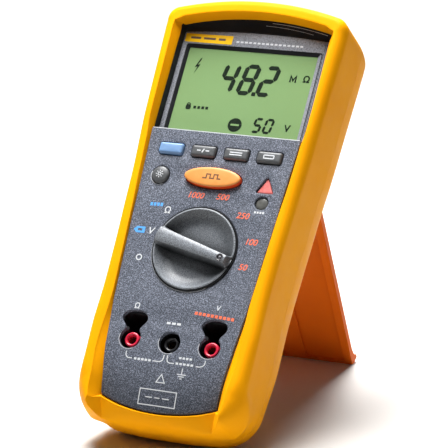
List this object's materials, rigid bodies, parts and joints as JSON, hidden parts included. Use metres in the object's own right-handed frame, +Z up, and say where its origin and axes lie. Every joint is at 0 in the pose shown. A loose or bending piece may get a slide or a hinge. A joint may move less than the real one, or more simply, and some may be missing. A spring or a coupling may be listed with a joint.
{
  "type": "insulation resistance tester",
  "caption": "Handheld insulation resistance tester leaning back on its tilt stand, with display, keys, selector knob and shrouded input sockets.",
  "frame": {"origin": "middle of the footprint at table level, under the leaning body and its open stand", "axes": "+X to the right seen from the front, +Y towards the stand behind, +Z up; the front panel faces -Y and up"},
  "size_m": [0.0896, 0.1716, 0.183],
  "materials": {
    "yellow_shell": "satin moulded elastomer, fine texture",
    "yellow_stand": "satin moulded plastic",
    "grey_panel": "speckled fine texture",
    "grey_mask": "speckled printed face",
    "black_trim": "satin black",
    "clear_lens": "clear polished",
    "lcd_green": "liquid crystal glass, green",
    "white_plastic": "natural moulded",
    "black_rubber": "matt",
    "grey_rubber": "matt",
    "blue_key": "satin",
    "dark_key": "satin",
    "orange_key": "satin",
    "knob_grey": "speckled fine texture",
    "pointer_grey": "satin",
    "red_lens": "translucent polished",
    "grey_lens": "translucent polished",
    "red_socket": "moulded gloss",
    "black_socket": "moulded gloss",
    "brass_parts": "plated",
    "steel_parts": "plated",
    "board_green": "solder mask",
    "winding_tan": "taped winding",
    "fuse_ceramic": "glazed body",
    "cell_jacket": "plain printed sleeve",
    "grey_door": "fine texture"
  },
  "bodies": {
    "meter": {"overmould": "yellow_shell", "front_case": "grey_panel", "display_surround": "black_trim", "display_mask": "grey_mask", "window_border": "black_trim", "display_lens": "clear_lens", "lcd_cell": "lcd_green", "lcd_backlight": "white_plastic", "contact_strips": "black_rubber", "keypad_mat": "grey_rubber", "dial_ring": "black_trim", "detent_spring": "steel_parts", "warning_lens": "red_lens", "pass_lens": "grey_lens", "jack_block": "black_trim", "socket_posts_outer": "red_socket", "socket_post_middle": "black_socket", "socket_tubes": "brass_parts", "port_contacts": "brass_parts", "main_board": "board_green", "indicator_lamps": "white_plastic", "converter": "winding_tan", "relays": "white_plastic", "sounder": "black_trim", "fuse": "fuse_ceramic", "fuse_clips": "steel_parts", "cells": "cell_jacket", "cell_contacts": "steel_parts", "case_gasket": "black_rubber", "rear_case": "yellow_shell", "case_screws": "steel_parts"},
    "knob": {"selector_knob": "knob_grey", "pointer_mark": "pointer_grey", "knob_rotor": "white_plastic", "wiper_contacts": "brass_parts"},
    "first_key": {"key_1": "blue_key"},
    "second_key": {"key_2": "dark_key"},
    "third_key": {"key_3": "dark_key"},
    "fourth_key": {"key_4": "dark_key"},
    "backlight_key": {"light_key": "dark_key"},
    "test_key": {"test_button": "orange_key"},
    "door": {"battery_door": "grey_door"},
    "left_lock": {"door_lock_left": "steel_parts"},
    "right_lock": {"door_lock_right": "steel_parts"},
    "stand": {"tilt_stand": "yellow_stand"}
  },
  "joints": [
    {"name": "knob_turn", "type": "hinge", "parent": "meter", "child": "knob", "pos_m": [0, -0.04047, 0.08339], "axis": [0, -0.809, 0.5878], "range_deg": [0, 210]},
    {"name": "stand_fold", "type": "hinge", "parent": "meter", "child": "stand", "pos_m": [0, 0.01973, 0.10331], "axis": [1, 0, 0], "range_deg": [-67, 0]},
    {"name": "door_lift", "type": "slide", "parent": "meter", "child": "door", "axis": [0, 0.809, -0.5878], "range_m": [0, 0.008]},
    {"name": "left_lock_turn", "type": "hinge", "parent": "door", "child": "left_lock", "pos_m": [-0.021, -0.02847, 0.04377], "axis": [0, 0.809, -0.5878], "range_deg": [0, 90]},
    {"name": "right_lock_turn", "type": "hinge", "parent": "door", "child": "right_lock", "pos_m": [0.021, -0.02847, 0.04377], "axis": [0, 0.809, -0.5878], "range_deg": [0, 90]},
    {"name": "first_key_press", "type": "slide", "parent": "meter", "child": "first_key", "axis": [0, 0.809, -0.5878], "range_m": [0, 0.0009], "stiffness_N_per_m": 1200, "springref_m": -0.0008},
    {"name": "second_key_press", "type": "slide", "parent": "meter", "child": "second_key", "axis": [0, 0.809, -0.5878], "range_m": [0, 0.0009], "stiffness_N_per_m": 1200, "springref_m": -0.0008},
    {"name": "third_key_press", "type": "slide", "parent": "meter", "child": "third_key", "axis": [0, 0.809, -0.5878], "range_m": [0, 0.0009], "stiffness_N_per_m": 1200, "springref_m": -0.0008},
    {"name": "fourth_key_press", "type": "slide", "parent": "meter", "child": "fourth_key", "axis": [0, 0.809, -0.5878], "range_m": [0, 0.0009], "stiffness_N_per_m": 1200, "springref_m": -0.0008},
    {"name": "backlight_key_press", "type": "slide", "parent": "meter", "child": "backlight_key", "axis": [0, 0.809, -0.5878], "range_m": [0, 0.0009], "stiffness_N_per_m": 1200, "springref_m": -0.0008},
    {"name": "test_key_press", "type": "slide", "parent": "meter", "child": "test_key", "axis": [0, 0.809, -0.5878], "range_m": [0, 0.0009], "stiffness_N_per_m": 1200, "springref_m": -0.0008}
  ]
}
